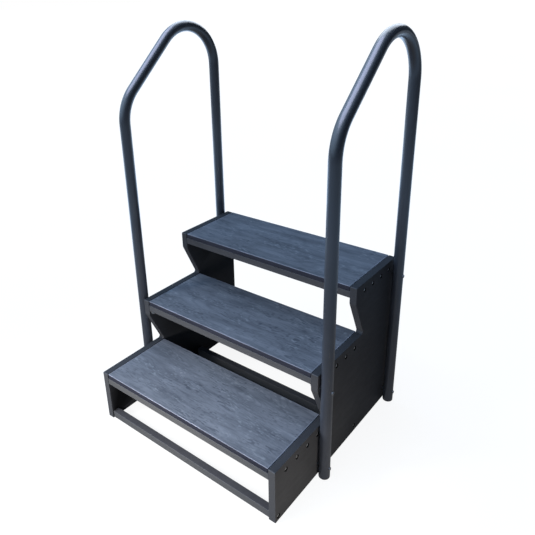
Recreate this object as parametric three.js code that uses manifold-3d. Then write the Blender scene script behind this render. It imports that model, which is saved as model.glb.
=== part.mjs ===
// Three-step mounting block with two bent-tube handrails, in millimetres, +Z up.
// The block stands on z = 0 and its front faces -Y. While it is built, y = 0 is the front
// face of the bottom step and x = 0 is the middle of its width; the whole group then moves
// back by half its depth, so that the origin is the middle of the footprint.
//
// Two stepped side panels carry three treads. Each tread is a board on a ring of battens:
// a front apron, a rear batten and an end cleat against each panel, which screws go into
// through the panel. Two low rails tie the panels together near the floor. Each handrail is
// one bent tube, bolted to the outside of a panel in four places, with a spacer between.
import * as THREE from 'three';
import Module from 'manifold-3d';
import { mergeVertices } from 'three/addons/utils/BufferGeometryUtils.js';

const wasm = await Module();
wasm.setup();

// Steps
const STEP_COUNT = 3;
const RISE = 200;
const GOING = 226;
const INNER_WIDTH = 730;
const DEPTH = 738;
const FIT_GAP = 0.3;

// Side panels: the front edge of an upper step drops straight for NOSE_DROP, then slopes
// back to a foot that lies FOOT_SETBACK behind it
const PANEL_THICKNESS = 25;
const NOSE_DROP = 62;
const FOOT_SETBACK = 64;
const KNEE_RADIUS = 25;
const FOOT_RADIUS = 8;
const PANEL_OUTER_X = INNER_WIDTH / 2 + PANEL_THICKNESS;

// Treads
const TREAD_DEPTH = 284;
const TREAD_SETBACK = 2;
const TREAD_END_GAP = 1.5;
const BOARD_THICKNESS = 18;
const BOARD_EDGE_RADIUS = 2;
const BATTEN_HEIGHT = 24;
const BATTEN_WIDTH = 22;
const APRON_LEAD = 1;

// Low rails, lifted clear of the floor
const RAIL_LIFT = 3;
const RAIL_DEPTH = 25;
const FRONT_RAIL = { y: 4, height: 27 };
const MIDDLE_RAIL = { y: 473, height: 42 };

// Handrails: the centre line goes up the front leg, bends to the slope, and bends over the
// top into the rear leg
const TUBE_RADIUS = 19;
const TUBE_WALL = 2;
const TUBE_SIDES = 16;
const FRONT_LEG_Y = 244;
const REAR_LEG_Y = 716;
const RAIL_TOP_Z = 1376;
const RAIL_SLOPE = THREE.MathUtils.degToRad(42);
const BEND_RADIUS = 152;
const SPACER_THICKNESS = 3.5;
const TUBE_X = PANEL_OUTER_X + SPACER_THICKNESS + TUBE_RADIUS;

// Plugs that close the lower ends of the tubes
const FOOT_FLANGE = 6;
const FOOT_CHAMFER = 2.5;
const FOOT_SPIGOT = 20;
const SPIGOT_TAPER = 2;
const SPIGOT_CLEARANCE = 0.4;

// Handrail bolts, nuts, washers and spacers
const BOLT_RADIUS = 4;
const BOLT_HOLE_RADIUS = 4.4;
const BOLT_HEAD_RADIUS = 6.5;
const BOLT_HEAD_HEIGHT = 3.6;
const BOLT_HEAD_RIM = 1;
const BOLT_END_CHAMFER = 1;
const BOLT_SIDES = 12;
const LOW_BOLT_Z = 42;
const FRONT_BOLT_Z = 346;
const REAR_BOLT_Z = 544;
const WASHER_RADIUS = 9;
const WASHER_THICKNESS = 1.6;
const NUT_ACROSS_FLATS = 13;
const NUT_THICKNESS = 6.5;
const BOLT_PROTRUSION = 3;
const SPACER_RADIUS = 11;

// Screw holes through the panels, each with a round seat that lets the head lie below the face
const SCREW_HOLE_RADIUS = 2.6;
const SCREW_SEAT_RADIUS = 8;
const SCREW_SEAT_DEPTH = 5;
const SCREW_SIDES = 10;
const SCREWS_PER_CLEAT = 4;
const FIRST_SCREW_Y = 57;
const SCREW_PITCH = 59;

// How far a cutter reaches past the face that it opens
const OVERRUN = 1;

const SIDES = { left: -1, right: 1 };

const materials = {
  panel: { color: 0x2c2d2f, roughness: 0.62, metalness: 0.0 },
  board: { color: 0x5b6675, roughness: 0.7, metalness: 0.0 },
  batten: { color: 0x4b4c4f, roughness: 0.65, metalness: 0.0 },
  tube: { color: 0x2b303b, roughness: 0.35, metalness: 0.2 },
  plug: { color: 0x26272a, roughness: 0.6, metalness: 0.0 },
  steel: { color: 0xa9adb2, roughness: 0.35, metalness: 0.9 },
};

const block = new THREE.Group();
block.name = 'mounting_block';

function addMesh(name, geometry, finish) {
  const mesh = new THREE.Mesh(geometry, new THREE.MeshStandardMaterial(materials[finish]));
  mesh.name = name;
  block.add(mesh);
  return mesh;
}

// Closed geometry to manifold solid and back

function toSolid(geometry) {
  const bare = geometry.clone();
  bare.deleteAttribute('normal');
  bare.deleteAttribute('uv');
  const merged = mergeVertices(bare, 1e-4);
  const vertProperties = new Float32Array(merged.attributes.position.array);
  const triVerts = new Uint32Array(merged.index.array);
  return new wasm.Manifold(new wasm.Mesh({ numProp: 3, vertProperties, triVerts }));
}

function toGeometry(solid) {
  const { vertProperties, triVerts } = solid.getMesh();
  const geometry = new THREE.BufferGeometry();
  geometry.setAttribute('position', new THREE.BufferAttribute(vertProperties, 3));
  geometry.setIndex(new THREE.BufferAttribute(triVerts, 1));
  geometry.computeVertexNormals();
  return geometry;
}

function cutAway(geometry, cutters) {
  let solid = toSolid(geometry);
  for (const cutter of cutters) {
    solid = solid.subtract(toSolid(cutter));
  }
  return toGeometry(solid);
}

// Outlines and directions

// A closed outline through corners [x, y, radius], each corner rounded by its radius
function roundedShape(corners) {
  const shape = new THREE.Shape();
  const count = corners.length;
  corners.forEach(([x, y, radius = 0], i) => {
    const corner = new THREE.Vector2(x, y);
    const before = new THREE.Vector2(...corners[(i + count - 1) % count]);
    const after = new THREE.Vector2(...corners[(i + 1) % count]);
    const toBefore = before.sub(corner).normalize();
    const toAfter = after.sub(corner).normalize();
    const halfAngle = Math.acos(THREE.MathUtils.clamp(toBefore.dot(toAfter), -1, 1)) / 2;
    const reach = radius / Math.tan(halfAngle);
    const start = corner.clone().addScaledVector(toBefore, reach);
    const end = corner.clone().addScaledVector(toAfter, reach);
    if (i === 0) shape.moveTo(start.x, start.y);
    else shape.lineTo(start.x, start.y);
    if (radius > 0) shape.quadraticCurveTo(corner.x, corner.y, end.x, end.y);
  });
  shape.closePath();
  return shape;
}

// Extrudes an outline drawn in (y, z) along X, from x = start
function extrudeAlongX(shape, start, length, curveSegments = 3) {
  const options = { depth: length, bevelEnabled: false, curveSegments };
  const geometry = new THREE.ExtrudeGeometry(shape, options);
  const toYZ = new THREE.Matrix4().makeBasis(
    new THREE.Vector3(0, 1, 0),
    new THREE.Vector3(0, 0, 1),
    new THREE.Vector3(1, 0, 0),
  );
  return geometry.applyMatrix4(toYZ).translate(start, 0, 0);
}

// Turns a [radius, distance] profile about an axis that points outwards from the given side
function turnedOutwards(profile, side, segments) {
  const points = profile.map(([radius, distance]) => new THREE.Vector2(radius, distance));
  return new THREE.LatheGeometry(points, segments).rotateZ((-side * Math.PI) / 2);
}

// A closed ring profile: its inner wall, outer wall and two flat faces
function ringProfile(inner, outer, from, to) {
  return [[inner, from], [outer, from], [outer, to], [inner, to], [inner, from]];
}

function cylinderProfile(radius, from, to) {
  return [[0, from], [radius, from], [radius, to], [0, to]];
}

// Places that repeat

const stepTop = (step) => (step + 1) * RISE;
const stepNose = (step) => step * GOING;
const steps = Array.from({ length: STEP_COUNT }, (_, step) => step);

const railScrews = [FRONT_RAIL, MIDDLE_RAIL].map(({ y, height }) => (
  { y: y + RAIL_DEPTH / 2, z: RAIL_LIFT + height / 2 }
));

function cleatScrews(step) {
  return Array.from({ length: SCREWS_PER_CLEAT }, (_, i) => ({
    y: stepNose(step) + FIRST_SCREW_Y + i * SCREW_PITCH,
    z: stepTop(step) - BOARD_THICKNESS - BATTEN_HEIGHT / 2,
  }));
}

const handrailBolts = {
  front_lower: { y: FRONT_LEG_Y, z: LOW_BOLT_Z },
  front_upper: { y: FRONT_LEG_Y, z: FRONT_BOLT_Z },
  rear_lower: { y: REAR_LEG_Y, z: LOW_BOLT_Z },
  rear_upper: { y: REAR_LEG_Y, z: REAR_BOLT_Z },
};

// Side panels

function panelOutline() {
  const corners = [[0, 0], [0, stepTop(0)]];
  for (const step of steps.slice(1)) {
    const nose = stepNose(step);
    corners.push([nose + FOOT_SETBACK, stepTop(step - 1), FOOT_RADIUS]);
    corners.push([nose, stepTop(step) - NOSE_DROP, KNEE_RADIUS]);
    corners.push([nose, stepTop(step)]);
  }
  corners.push([DEPTH, stepTop(STEP_COUNT - 1)], [DEPTH, 0]);
  return roundedShape(corners);
}

function screwHoleCutter(side, { y, z }) {
  const profile = [
    [0, -PANEL_THICKNESS - OVERRUN],
    [SCREW_HOLE_RADIUS, -PANEL_THICKNESS - OVERRUN],
    [SCREW_HOLE_RADIUS, -SCREW_SEAT_DEPTH],
    [SCREW_SEAT_RADIUS, -SCREW_SEAT_DEPTH],
    [SCREW_SEAT_RADIUS, OVERRUN],
    [0, OVERRUN],
  ];
  return turnedOutwards(profile, side, SCREW_SIDES).translate(side * PANEL_OUTER_X, y, z);
}

function boltHoleCutter(side, { y, z }) {
  const from = INNER_WIDTH / 2 - OVERRUN;
  const to = TUBE_X + TUBE_RADIUS + OVERRUN;
  const profile = cylinderProfile(BOLT_HOLE_RADIUS, from, to);
  return turnedOutwards(profile, side, BOLT_SIDES).translate(0, y, z);
}

function sidePanel(side) {
  const start = side > 0 ? INNER_WIDTH / 2 : -PANEL_OUTER_X;
  const slab = extrudeAlongX(panelOutline(), start, PANEL_THICKNESS);
  const screws = [...steps.flatMap(cleatScrews), ...railScrews];
  return cutAway(slab, [
    ...screws.map((place) => screwHoleCutter(side, place)),
    ...Object.values(handrailBolts).map((place) => boltHoleCutter(side, place)),
  ]);
}

// Treads

function barAlongX(length, yStart, yEnd, zStart, zEnd) {
  const bar = new THREE.BoxGeometry(length, yEnd - yStart, zEnd - zStart);
  return bar.translate(0, (yStart + yEnd) / 2, (zStart + zEnd) / 2);
}

function treadBoard(step) {
  const front = stepNose(step) + TREAD_SETBACK;
  const rear = front + TREAD_DEPTH;
  const top = stepTop(step);
  const section = roundedShape([
    [front, top - BOARD_THICKNESS],
    [rear, top - BOARD_THICKNESS],
    [rear, top, BOARD_EDGE_RADIUS],
    [front, top, BOARD_EDGE_RADIUS],
  ]);
  const length = INNER_WIDTH - 2 * TREAD_END_GAP;
  return extrudeAlongX(section, -length / 2, length);
}

function battenHeights(step) {
  const top = stepTop(step) - BOARD_THICKNESS - FIT_GAP;
  return [top - BATTEN_HEIGHT + FIT_GAP, top];
}

function frontApron(step) {
  const front = stepNose(step) + TREAD_SETBACK - APRON_LEAD;
  return barAlongX(INNER_WIDTH - 2 * FIT_GAP, front, front + BATTEN_WIDTH, ...battenHeights(step));
}

function rearBatten(step) {
  const rear = stepNose(step) + TREAD_SETBACK + TREAD_DEPTH;
  return barAlongX(INNER_WIDTH - 2 * FIT_GAP, rear - BATTEN_WIDTH, rear, ...battenHeights(step));
}

function endCleat(step, side) {
  const front = stepNose(step) + TREAD_SETBACK - APRON_LEAD + BATTEN_WIDTH + FIT_GAP;
  const rear = stepNose(step) + TREAD_SETBACK + TREAD_DEPTH - BATTEN_WIDTH - FIT_GAP;
  const cleat = barAlongX(BATTEN_WIDTH, front, rear, ...battenHeights(step));
  return cleat.translate(side * (INNER_WIDTH / 2 - FIT_GAP - BATTEN_WIDTH / 2), 0, 0);
}

// Low rails

function lowRail({ y, height }) {
  return barAlongX(INNER_WIDTH - 2 * FIT_GAP, y, y + RAIL_DEPTH, RAIL_LIFT, RAIL_LIFT + height);
}

// Handrails

// A centre line given by knots, each a point with its direction
class KnotLine extends THREE.Curve {
  constructor(knots) {
    super();
    this.knots = knots;
  }

  knotAt(t) {
    return this.knots[Math.round(t * (this.knots.length - 1))];
  }

  getUtoTmapping(u) {
    return u;
  }

  getPoint(t, target = new THREE.Vector3()) {
    return target.copy(this.knotAt(t).point);
  }

  getTangent(t, target = new THREE.Vector3()) {
    return target.copy(this.knotAt(t).direction);
  }
}

// A direction in the handrail's plane, at an angle above the way back (+Y)
const heading = (angle) => new THREE.Vector3(0, Math.cos(angle), Math.sin(angle));

// Knots round a bend that turns downwards, from one heading to another
function bendKnots(centre, fromAngle, toAngle, steps) {
  return Array.from({ length: steps + 1 }, (_, i) => {
    const angle = THREE.MathUtils.lerp(fromAngle, toAngle, i / steps);
    const point = centre.clone().addScaledVector(heading(angle + Math.PI / 2), BEND_RADIUS);
    return { point, direction: heading(angle) };
  });
}

function handrailKnots() {
  const up = Math.PI / 2;
  const topCentre = new THREE.Vector3(0, REAR_LEG_Y - BEND_RADIUS, RAIL_TOP_Z - BEND_RADIUS);
  const frontCentreY = FRONT_LEG_Y + BEND_RADIUS;
  const run = topCentre.y - frontCentreY;
  const frontCentre = new THREE.Vector3(0, frontCentreY, topCentre.z - run * Math.tan(RAIL_SLOPE));
  const foot = FOOT_FLANGE + FIT_GAP;
  return [
    { point: new THREE.Vector3(0, FRONT_LEG_Y, foot), direction: heading(up) },
    ...bendKnots(frontCentre, up, RAIL_SLOPE, 7),
    ...bendKnots(topCentre, RAIL_SLOPE, -up, 17),
    { point: new THREE.Vector3(0, REAR_LEG_Y, foot), direction: heading(-up) },
  ];
}

function handrail(side) {
  const section = new THREE.Shape().absarc(0, 0, TUBE_RADIUS, 0, 2 * Math.PI);
  section.holes.push(new THREE.Path().absarc(0, 0, TUBE_RADIUS - TUBE_WALL, 0, 2 * Math.PI));
  const knots = handrailKnots();
  const tube = new THREE.ExtrudeGeometry(section, {
    steps: knots.length - 1,
    curveSegments: TUBE_SIDES / 2,
    extrudePath: new KnotLine(knots),
  });
  tube.translate(side * TUBE_X, 0, 0);
  return cutAway(tube, Object.values(handrailBolts).map((place) => boltHoleCutter(side, place)));
}

function footPlug() {
  const spigot = TUBE_RADIUS - TUBE_WALL - SPIGOT_CLEARANCE;
  const profile = [
    [0, 0],
    [TUBE_RADIUS - FOOT_CHAMFER, 0],
    [TUBE_RADIUS, FOOT_CHAMFER],
    [TUBE_RADIUS, FOOT_FLANGE],
    [spigot, FOOT_FLANGE],
    [spigot, FOOT_FLANGE + FOOT_SPIGOT - SPIGOT_TAPER],
    [spigot - SPIGOT_TAPER, FOOT_FLANGE + FOOT_SPIGOT],
    [0, FOOT_FLANGE + FOOT_SPIGOT],
  ];
  const points = profile.map(([radius, height]) => new THREE.Vector2(radius, height));
  return new THREE.LatheGeometry(points, TUBE_SIDES).rotateX(Math.PI / 2);
}

// Handrail fasteners, drawn as distances outwards from the middle of the block

const PANEL_INNER_X = INNER_WIDTH / 2;
const WASHER_OUTER_X = PANEL_INNER_X - FIT_GAP;
const NUT_OUTER_X = WASHER_OUTER_X - WASHER_THICKNESS - FIT_GAP;
const BOLT_END_X = NUT_OUTER_X - NUT_THICKNESS - BOLT_PROTRUSION;
const HEAD_SEAT_X = TUBE_X + TUBE_RADIUS + FIT_GAP;

function boltGeometry(side) {
  const domeBase = HEAD_SEAT_X + BOLT_HEAD_RIM;
  const domeHeight = BOLT_HEAD_HEIGHT - BOLT_HEAD_RIM;
  const dome = [0, 1, 2, 3].map((i) => {
    const angle = (i * Math.PI) / 8;
    return [BOLT_HEAD_RADIUS * Math.cos(angle), domeBase + domeHeight * Math.sin(angle)];
  });
  const profile = [
    [0, BOLT_END_X],
    [BOLT_RADIUS - BOLT_END_CHAMFER, BOLT_END_X],
    [BOLT_RADIUS, BOLT_END_X + BOLT_END_CHAMFER],
    [BOLT_RADIUS, HEAD_SEAT_X],
    [BOLT_HEAD_RADIUS, HEAD_SEAT_X],
    ...dome,
    [0, HEAD_SEAT_X + BOLT_HEAD_HEIGHT],
  ];
  return turnedOutwards(profile, side, BOLT_SIDES);
}

function nutGeometry(side) {
  const hexagon = new THREE.Shape();
  const corner = NUT_ACROSS_FLATS / Math.sqrt(3);
  for (let i = 0; i < 6; i += 1) {
    const angle = (i * Math.PI) / 3;
    const point = [corner * Math.cos(angle), corner * Math.sin(angle)];
    if (i === 0) hexagon.moveTo(...point);
    else hexagon.lineTo(...point);
  }
  hexagon.closePath();
  hexagon.holes.push(new THREE.Path().absarc(0, 0, BOLT_HOLE_RADIUS, 0, 2 * Math.PI));
  const start = side > 0 ? NUT_OUTER_X - NUT_THICKNESS : -NUT_OUTER_X;
  return extrudeAlongX(hexagon, start, NUT_THICKNESS, BOLT_SIDES / 2);
}

function washerGeometry(side) {
  const from = WASHER_OUTER_X - WASHER_THICKNESS;
  const profile = ringProfile(BOLT_HOLE_RADIUS, WASHER_RADIUS, from, WASHER_OUTER_X);
  return turnedOutwards(profile, side, BOLT_SIDES);
}

function spacerGeometry(side) {
  const to = TUBE_X - TUBE_RADIUS - FIT_GAP;
  const profile = ringProfile(BOLT_HOLE_RADIUS, SPACER_RADIUS, PANEL_OUTER_X + FIT_GAP, to);
  return turnedOutwards(profile, side, BOLT_SIDES);
}

function addHandrailFasteners(sideName, side) {
  for (const [place, { y, z }] of Object.entries(handrailBolts)) {
    const label = `${sideName}_${place}`;
    addMesh(`handrail_bolt_${label}`, boltGeometry(side), 'steel').position.set(0, y, z);
    addMesh(`nut_${label}`, nutGeometry(side), 'steel').position.set(0, y, z);
    addMesh(`washer_${label}`, washerGeometry(side), 'steel').position.set(0, y, z);
    addMesh(`spacer_${label}`, spacerGeometry(side), 'plug').position.set(0, y, z);
  }
}

// Assembly

for (const [sideName, side] of Object.entries(SIDES)) {
  addMesh(`side_panel_${sideName}`, sidePanel(side), 'panel');
  addMesh(`handrail_${sideName}`, handrail(side), 'tube');
  for (const [leg, y] of Object.entries({ front: FRONT_LEG_Y, rear: REAR_LEG_Y })) {
    addMesh(`foot_plug_${sideName}_${leg}`, footPlug(), 'plug').position.set(side * TUBE_X, y, 0);
  }
  addHandrailFasteners(sideName, side);
}

for (const step of steps) {
  const number = step + 1;
  addMesh(`tread_board_${number}`, treadBoard(step), 'board');
  addMesh(`front_apron_${number}`, frontApron(step), 'batten');
  addMesh(`rear_batten_${number}`, rearBatten(step), 'batten');
  for (const [sideName, side] of Object.entries(SIDES)) {
    addMesh(`end_cleat_${number}_${sideName}`, endCleat(step, side), 'batten');
  }
}

addMesh('front_rail', lowRail(FRONT_RAIL), 'batten');
addMesh('middle_rail', lowRail(MIDDLE_RAIL), 'batten');

block.position.y = -DEPTH / 2;

export default block;
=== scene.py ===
import math

import bmesh
import bpy
import numpy as np
from mathutils import Matrix, Vector


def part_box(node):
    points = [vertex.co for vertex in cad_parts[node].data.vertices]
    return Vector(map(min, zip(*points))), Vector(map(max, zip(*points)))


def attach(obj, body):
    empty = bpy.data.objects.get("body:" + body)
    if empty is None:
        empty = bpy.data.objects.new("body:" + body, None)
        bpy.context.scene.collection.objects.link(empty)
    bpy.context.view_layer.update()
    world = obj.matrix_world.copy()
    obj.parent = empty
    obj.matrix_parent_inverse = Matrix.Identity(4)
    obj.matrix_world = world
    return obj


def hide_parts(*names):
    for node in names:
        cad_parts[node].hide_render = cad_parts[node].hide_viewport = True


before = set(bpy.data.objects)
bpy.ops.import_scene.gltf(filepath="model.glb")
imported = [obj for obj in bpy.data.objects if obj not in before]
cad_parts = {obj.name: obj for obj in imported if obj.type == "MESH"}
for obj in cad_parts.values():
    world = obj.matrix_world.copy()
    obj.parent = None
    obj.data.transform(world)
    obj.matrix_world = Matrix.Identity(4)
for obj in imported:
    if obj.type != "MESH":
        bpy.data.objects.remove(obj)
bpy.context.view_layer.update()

# A three-step mounting block with two bent-tube handrails. All lengths are in metres. Places
# come from the frame's boxes; the named values below are the finishes and small details.

MM = 0.001
SIDES = {"left": -1, "right": 1}
STEPS = (1, 2, 3)
FIT_GAP = 0.3 * MM
BOARD_BEVEL = 1.0 * MM
CLEAT_BEVEL = 0.8 * MM
BOLT_PLACES = ("front_lower", "front_upper", "rear_lower", "rear_upper")

# Side panels
NOSE_DROP = 62 * MM
FOOT_SETBACK = 64 * MM
KNEE_RADIUS = 25 * MM
FOOT_RADIUS = 8 * MM
PANEL_CORNER = 2 * MM
PANEL_EDGE = 1.3 * MM
# Outline points closer than this are on a corner's arc, whose edge gets a painted highlight
ARRIS_STEP = 0.6 * MM

# Screws through the panels
SCREWS_PER_CLEAT = 4
FIRST_SCREW = 57 * MM
SCREW_PITCH = 59 * MM
SCREW_SEAT_RADIUS = 8 * MM
SCREW_SEAT_DEPTH = 5 * MM
SCREW_SEAT_RIM = 0.5 * MM
SCREW_SEAT_CORNER = 0.4 * MM
SCREW_HOLE_RADIUS = 2.6 * MM
SCREW_HEAD_RADIUS = 5.0 * MM
SCREW_HEAD_HEIGHT = 2.8 * MM
SCREW_CORE_RADIUS = 1.9 * MM
SCREW_LENGTH = 40 * MM
SCREW_PITCH_OF_THREAD = 1.8 * MM
SCREW_CREST = 0.5 * MM
CROSS_WIDTH = 1.0 * MM
CROSS_REACH = 2.7 * MM
CROSS_FOOT = 0.9 * MM
CROSS_DEPTH = 2.4 * MM

# Handrails
RAIL_SLOPE = math.radians(42)
BEND_RADIUS = 152 * MM
TUBE_RADIUS = 19 * MM
TUBE_WALL = 2 * MM
TUBE_SIDES = 56
SPIGOT_CLEARANCE = 0.4 * MM

# Handrail bolts
BOLT_RADIUS = 4.0 * MM
BOLT_HOLE_RADIUS = 4.4 * MM
BOLT_PITCH = 1.25 * MM
BOLT_THREAD = 20 * MM
HEAD_RIM = 0.7 * MM
SOCKET_RADIUS = 2.6 * MM
NUT_CHAMFER = 1.0 * MM
# How far a cutter reaches past the face that it opens
OVERRUN = 1 * MM

# Tread boards
BOARD_EDGE = 1.6 * MM
TREAD_END_GAP = 0.7 * MM
GRAIN_DEPTH = 0.55 * MM

# Studio
SKY_SIDE = (-0.52, -0.40, 0.76)
SKY_STRENGTH = 2.3
SKY_TONES = (
    (0.00, (0.014, 0.019, 0.027)),
    (0.40, (0.11, 0.16, 0.22)),
    (0.95, (0.52, 0.73, 1.00)),
)
FLOOR_LOW = (0.09, 0.09, 0.085)
FLOOR_HIGH = (0.11, 0.11, 0.105)
FLOOR_GLOW = 0.9
# The floor as reflections see it: tones by distance from the block, as a part of the reach,
# and brighter towards one side
FLOOR_REACH = 6.0
FLOOR_SHEEN = (
    (0.15, (0.18, 0.185, 0.20)),
    (0.38, (0.29, 0.42, 0.61)),
    (0.65, (0.34, 0.45, 0.60)),
    (0.92, (0.10, 0.12, 0.15)),
)
FLOOR_BRIGHT_SIDE = (-0.8, 0.6, 0.0)
FLOOR_BRIGHT_FROM, FLOOR_BRIGHT_TO = 0.5, 1.7
FLOOR_BRIGHTER = 3.0
FLOOR_SIZE = 60.0
CAMERA_PLACE = (1.1147, -1.3645, 1.4990)
CAMERA_TURN = (0.687, -0.388, -0.030)
CAMERA_LENS = 38.045
CAMERA_SHIFT = (0.0464, -0.0912)


# ---------------------------------------------------------------- small helpers

def box_of(node):
    """The lowest and highest corner of a CAD node."""
    low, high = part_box(node)
    return np.array(low), np.array(high)


def centre_of(node):
    low, high = box_of(node)
    return (low + high) / 2


def new_object(name, mesh):
    piece = bpy.data.objects.new(name, mesh)
    bpy.context.scene.collection.objects.link(piece)
    return piece


def mesh_from(name, points, faces):
    mesh = bpy.data.meshes.new(name)
    mesh.from_pydata([tuple(p) for p in points], [], [tuple(f) for f in faces])
    mesh.validate()
    mesh.update()
    return mesh


def face_outwards(mesh):
    work = bmesh.new()
    work.from_mesh(mesh)
    bmesh.ops.remove_doubles(work, verts=work.verts, dist=1e-6)
    bmesh.ops.recalc_face_normals(work, faces=work.faces)
    work.to_mesh(mesh)
    work.free()
    return mesh


def shade(piece, angle=35.0):
    """Smooth shading, with edges sharper than the angle kept sharp."""
    mesh = piece.data
    mesh.shade_smooth()
    work = bmesh.new()
    work.from_mesh(mesh)
    limit = math.radians(angle)
    for edge in work.edges:
        edge.smooth = not (edge.is_manifold and edge.calc_face_angle(0.0) > limit)
    work.to_mesh(mesh)
    work.free()
    return piece


def add_values(mesh, name, values):
    """One number for each point of a mesh, for its material to read."""
    layer = mesh.attributes.new(name, "FLOAT", "POINT")
    layer.data.foreach_set("value", np.asarray(values, np.float32))


def finish_piece(piece, material, slot, *nodes):
    """Gives a piece its material and sets it in place of the CAD nodes, which it hides; the slot
    is not used.
    """
    piece.data.materials.clear()
    piece.data.materials.append(material)
    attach(piece, "root")
    if nodes:
        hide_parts(*nodes)
    return piece


def cut(piece, cutters, operation="DIFFERENCE"):
    """Takes the cutters away from a piece, or keeps only what is in them, for good."""
    joined = join_meshes("cutter", [(c, Matrix.Identity(4)) for c in cutters])
    tool = new_object("cutter", joined)
    modifier = piece.modifiers.new("cut", "BOOLEAN")
    modifier.operation = operation
    modifier.solver = "EXACT"
    modifier.object = tool
    bpy.context.view_layer.update()
    graph = bpy.context.evaluated_depsgraph_get()
    result = bpy.data.meshes.new_from_object(piece.evaluated_get(graph))
    piece.modifiers.clear()
    old = piece.data
    result.name = old.name + "_cut"
    piece.data = result
    bpy.data.meshes.remove(old)
    bpy.data.objects.remove(tool)
    bpy.data.meshes.remove(joined)
    return piece


def join_meshes(name, parts):
    """One mesh out of (mesh, matrix) pairs."""
    work = bmesh.new()
    for mesh, matrix in parts:
        start = len(work.verts)
        work.from_mesh(mesh)
        work.verts.ensure_lookup_table()
        bmesh.ops.transform(work, matrix=matrix, verts=work.verts[start:])
    joined = bpy.data.meshes.new(name)
    work.to_mesh(joined)
    work.free()
    return joined


def lathe(name, profile, segments=48):
    """Turns a closed [radius, height] profile about Z."""
    rings = []
    points = []
    faces = []
    for radius, height in profile:
        if radius < 1e-9:
            rings.append([len(points)] * segments)
            points.append((0.0, 0.0, height))
            continue
        rings.append(list(range(len(points), len(points) + segments)))
        for i in range(segments):
            angle = 2 * math.pi * i / segments
            points.append((radius * math.cos(angle), radius * math.sin(angle), height))
    closed = profile[0][0] > 1e-9
    pairs = list(zip(rings, rings[1:] + rings[:1])) if closed else list(zip(rings, rings[1:]))
    for lower, upper in pairs:
        for i in range(segments):
            j = (i + 1) % segments
            corners = [lower[i], lower[j], upper[j], upper[i]]
            unique = [c for k, c in enumerate(corners) if c not in corners[:k]]
            if len(unique) > 2:
                faces.append(unique)
    return face_outwards(mesh_from(name, points, faces))


def cylinder(name, radius, start, end, segments=32):
    """A plain cylinder along Z, for drilling."""
    return lathe(name, [(0.0, start), (radius, start), (radius, end), (0.0, end)], segments)


def arc(centre, radius, start, end, count):
    """Points on a circle from one angle to another, in degrees, both ends included."""
    angles = np.radians(np.linspace(start, end, count))
    return [(centre[0] + radius * math.cos(a), centre[1] + radius * math.sin(a)) for a in angles]


def outwards(side):
    """Turns +Z, a piece's own axis, to point outwards from the given side."""
    return Matrix.Rotation(side * math.pi / 2, 4, "Y")


# ---------------------------------------------------------------- noise for shapes

def value_noise(x, y, cell_x, cell_y, seed):
    """Smooth noise from 0 to 1, with cells of the given size."""
    gx = (x - x.min()) / cell_x
    gy = (y - y.min()) / cell_y
    rng = np.random.default_rng(seed)
    table = rng.random((int(gx.max()) + 3, int(gy.max()) + 3))
    ix = gx.astype(int)
    iy = gy.astype(int)
    fx = gx - ix
    fy = gy - iy
    fx = fx * fx * (3 - 2 * fx)
    fy = fy * fy * (3 - 2 * fy)
    low = table[ix, iy] * (1 - fx) + table[ix + 1, iy] * fx
    high = table[ix, iy + 1] * (1 - fx) + table[ix + 1, iy + 1] * fx
    return low * (1 - fy) + high * fy


def wood_figure(x, y, seed):
    """The embossed wood grain: its grooves and its raised flecks, each from 0 to 1."""
    drift = 40 * MM * (value_noise(x, y, 210 * MM, 80 * MM, seed) - 0.5)
    drift += 9 * MM * (value_noise(x, y, 45 * MM, 22 * MM, seed + 1) - 0.5)
    across = y + drift
    figure = value_noise(x, across, 240 * MM, 42 * MM, seed + 2)
    rings = (0.5 + 0.5 * np.cos(2 * math.pi * 8 * figure)) ** 4
    ticks = value_noise(x, across, 15 * MM, 2.6 * MM, seed + 3)
    flecks = value_noise(x, across, 11 * MM, 2.8 * MM, seed + 4)
    here = value_noise(x, across, 75 * MM, 26 * MM, seed + 5)
    ring_cover = np.clip((here - 0.35) / 0.4, 0, 1)
    tick_cover = np.clip((0.75 - here) / 0.5, 0, 1)
    fleck_cover = np.clip((value_noise(x, across, 60 * MM, 30 * MM, seed + 6) - 0.45) / 0.3, 0, 1)
    grooves = 0.45 * rings * ring_cover + np.clip((ticks - 0.62) / 0.2, 0, 1) * tick_cover
    ridges = np.clip((flecks - 0.66) / 0.16, 0, 1) * fleck_cover
    return np.clip(grooves, 0, 1), np.clip(ridges * (1 - grooves), 0, 1)


# ---------------------------------------------------------------- materials

def srgb(red, green, blue):
    """A colour given as 0..255 display values, as linear values."""
    out = []
    for value in (red, green, blue):
        c = value / 255
        out.append(c / 12.92 if c <= 0.04045 else ((c + 0.055) / 1.055) ** 2.4)
    return (*out, 1.0)


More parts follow.
